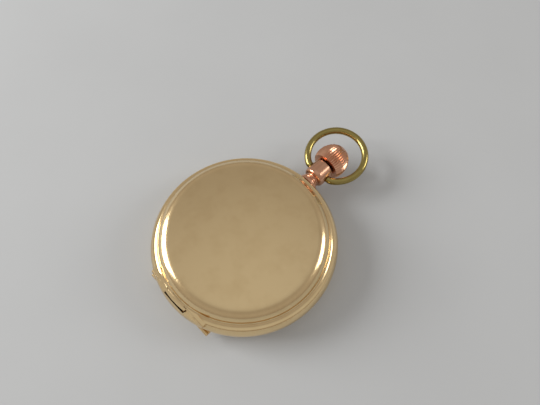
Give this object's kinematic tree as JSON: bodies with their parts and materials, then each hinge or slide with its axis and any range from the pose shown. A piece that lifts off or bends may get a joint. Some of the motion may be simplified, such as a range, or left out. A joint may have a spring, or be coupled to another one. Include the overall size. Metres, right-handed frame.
{
  "type": "pocket watch",
  "caption": "open face pocket watch with a stem-wound lever movement, hinged back, dust cover and bezel, fluted crown and swinging bow",
  "frame": {"origin": "where the case axis meets the flat of the glass, the face that the watch rests on", "axes": "+Z towards the back cover, +Y towards the pendant and crown at 12 o'clock, hinges at -Y; 3 o'clock is at -X"},
  "size_m": [0.05, 0.0712, 0.0138],
  "materials": {
    "case_gold": "polished pale yellow gold-filled case",
    "cuvette_gold": "polished",
    "rose_gold": "polished rose gold",
    "bow_brass": "greenish yellow brass wire, worn bright",
    "steel": "polished steel",
    "blued_steel": "heat-blued steel",
    "plate_nickel": "nickel-plated, striped",
    "wheel_gilt": "gilt brass wheels",
    "jewel_red": "synthetic ruby",
    "glass": "bevelled mineral glass",
    "enamel": "white enamel"
  },
  "bodies": {
    "case": {"case_band": "case_gold", "back_hinge_pin": "case_gold", "bezel_hinge_pin": "case_gold", "pendant": "rose_gold", "pendant_sleeve": "steel", "case_screws": "steel", "main_plate": "plate_nickel", "barrel_bridge": "plate_nickel", "train_bridge": "plate_nickel", "balance_cock": "plate_nickel", "pallet_cock": "plate_nickel", "bridge_screws": "steel", "jewels": "jewel_red", "click_screw": "steel", "click_spring": "blued_steel", "crown_wheel_core": "steel", "hairspring": "blued_steel", "hairspring_stud": "steel", "regulator": "steel", "dial": "enamel"},
    "back": {"back_cover": "case_gold"},
    "cuvette": {"cuvette": "cuvette_gold"},
    "bezel": {"bezel": "case_gold", "crystal": "glass"},
    "bow": {"bow": "bow_brass"},
    "winding": {"winding_pinion": "steel"},
    "crown": {"crown": "rose_gold", "stem": "steel"},
    "clutch": {"sliding_clutch": "steel"},
    "setting_lever": {"setting_lever": "steel"},
    "clutch_lever": {"clutch_lever": "steel"},
    "setting_wheel": {"setting_wheel": "steel"},
    "crown_wheel": {"crown_wheel": "steel"},
    "ratchet": {"ratchet_wheel": "steel", "barrel_arbor": "steel"},
    "click": {"click": "steel"},
    "barrel": {"barrel_drum": "wheel_gilt", "barrel_cover": "wheel_gilt", "mainspring": "blued_steel"},
    "centre": {"centre_wheel": "wheel_gilt", "cannon_pinion": "steel", "minute_hand": "blued_steel"},
    "third": {"third_wheel": "wheel_gilt"},
    "fourth": {"fourth_wheel": "wheel_gilt", "seconds_hand": "blued_steel"},
    "escape": {"escape_wheel": "steel"},
    "minute_wheel": {"minute_wheel": "wheel_gilt"},
    "hour": {"hour_wheel": "wheel_gilt", "hour_hand": "blued_steel"},
    "pallet": {"pallet_fork": "steel", "pallet_stones": "jewel_red"},
    "balance": {"balance_wheel": "wheel_gilt", "balance_screws": "steel", "balance_staff": "steel", "roller": "wheel_gilt"}
  },
  "joints": [
    {"name": "back_open", "type": "hinge", "parent": "case", "child": "back", "pos_m": [0, -0.02265, 0.00885], "axis": [1, 0, 0], "range_deg": [0, 100]},
    {"name": "cuvette_open", "type": "hinge", "parent": "case", "child": "cuvette", "pos_m": [0, -0.02265, 0.00885], "axis": [1, 0, 0], "range_deg": [0, 80]},
    {"name": "bezel_open", "type": "hinge", "parent": "case", "child": "bezel", "pos_m": [0, -0.0233, 0.00395], "axis": [-1, 0, 0], "range_deg": [0, 100]},
    {"name": "bow_swing", "type": "hinge", "parent": "case", "child": "bow", "pos_m": [0, 0.0297, 0.0064], "axis": [1, 0, 0], "range_deg": [-127, 113]},
    {"name": "crown_turn", "type": "hinge", "parent": "case", "child": "winding", "pos_m": [0, 0.0145, 0.0064], "axis": [0, 1, 0], "continuous": true},
    {"name": "crown_pull", "type": "slide", "parent": "winding", "child": "crown", "axis": [0, 1, 0], "range_m": [0, 0.0012]},
    {"name": "clutch_slide", "type": "slide", "parent": "winding", "child": "clutch", "axis": [0, 1, 0], "range_m": [-0.0007, 0]},
    {"name": "setting_lever_turn", "type": "hinge", "parent": "case", "child": "setting_lever", "pos_m": [0.0026, 0.01805, 0.0049], "axis": [0, 0, 1], "range_deg": [-26.09, 0]},
    {"name": "clutch_lever_turn", "type": "hinge", "parent": "case", "child": "clutch_lever", "pos_m": [-0.0034, 0.01299, 0.0049], "axis": [0, 0, 1], "range_deg": [-11.85, 0]},
    {"name": "crown_wheel_turn", "type": "hinge", "parent": "case", "child": "crown_wheel", "pos_m": [0, 0.01081, 0.0064], "axis": [0, 0, 1], "continuous": true},
    {"name": "ratchet_turn", "type": "hinge", "parent": "case", "child": "ratchet", "pos_m": [-0.00834, 0.00444, 0.0064], "axis": [0, 0, 1], "continuous": true},
    {"name": "click_rock", "type": "hinge", "parent": "case", "child": "click", "pos_m": [-0.00983, 0.01286, 0.0064], "axis": [0, 0, 1], "range_deg": [0, 12]},
    {"name": "seconds_turn", "type": "hinge", "parent": "case", "child": "fourth", "pos_m": [0, -0.0096, 0.0064], "axis": [0, 0, 1], "continuous": true},
    {"name": "third_turn", "type": "hinge", "parent": "case", "child": "third", "pos_m": [0.00404, -0.00596, 0.0064], "axis": [0, 0, 1], "continuous": true},
    {"name": "centre_turn", "type": "hinge", "parent": "case", "child": "centre", "pos_m": [0, 0, 0.0064], "axis": [0, 0, 1], "continuous": true},
    {"name": "barrel_turn", "type": "hinge", "parent": "case", "child": "barrel", "pos_m": [-0.00834, 0.00444, 0.0064], "axis": [0, 0, 1], "continuous": true},
    {"name": "escape_turn", "type": "hinge", "parent": "case", "child": "escape", "pos_m": [0.00502, -0.01123, 0.0064], "axis": [0, 0, 1], "continuous": true},
    {"name": "minute_wheel_turn", "type": "hinge", "parent": "case", "child": "minute_wheel", "pos_m": [0.00207, 0.00388, 0.0064], "axis": [0, 0, 1], "continuous": true},
    {"name": "hour_turn", "type": "hinge", "parent": "case", "child": "hour", "pos_m": [0, 0, 0.0064], "axis": [0, 0, 1], "continuous": true},
    {"name": "setting_wheel_turn", "type": "hinge", "parent": "case", "child": "setting_wheel", "pos_m": [0, 0.00922, 0.0064], "axis": [0, 0, 1], "continuous": true},
    {"name": "pallet_rock", "type": "hinge", "parent": "case", "child": "pallet", "pos_m": [0.00882, -0.00904, 0.0064], "axis": [0, 0, 1], "range_deg": [-5, 5]},
    {"name": "balance_swing", "type": "hinge", "parent": "case", "child": "balance", "pos_m": [0.0128, -0.0042, 0.0064], "axis": [0, 0, 1], "range_deg": [-270, 270]}
  ],
  "couplings": [
    {"joint": "cuvette_open", "follows": "back_open", "ratio": 0.8},
    {"joint": "clutch_slide", "follows": "crown_pull", "ratio": -0.58333},
    {"joint": "setting_lever_turn", "follows": "crown_pull", "rad_per_m": -378},
    {"joint": "clutch_lever_turn", "follows": "crown_pull", "rad_per_m": -170.97},
    {"joint": "crown_wheel_turn", "follows": "crown_turn", "ratio": -0.46667},
    {"joint": "ratchet_turn", "follows": "crown_turn", "ratio": 0.25926},
    {"joint": "third_turn", "follows": "seconds_turn", "ratio": -0.13333},
    {"joint": "centre_turn", "follows": "seconds_turn", "ratio": 0.016667},
    {"joint": "barrel_turn", "follows": "seconds_turn", "ratio": -0.0020833},
    {"joint": "escape_turn", "follows": "seconds_turn", "ratio": -10},
    {"joint": "minute_wheel_turn", "follows": "seconds_turn", "ratio": -0.0055556},
    {"joint": "hour_turn", "follows": "seconds_turn", "ratio": 0.0013889},
    {"joint": "setting_wheel_turn", "follows": "seconds_turn", "ratio": 0.0075758}
  ]
}
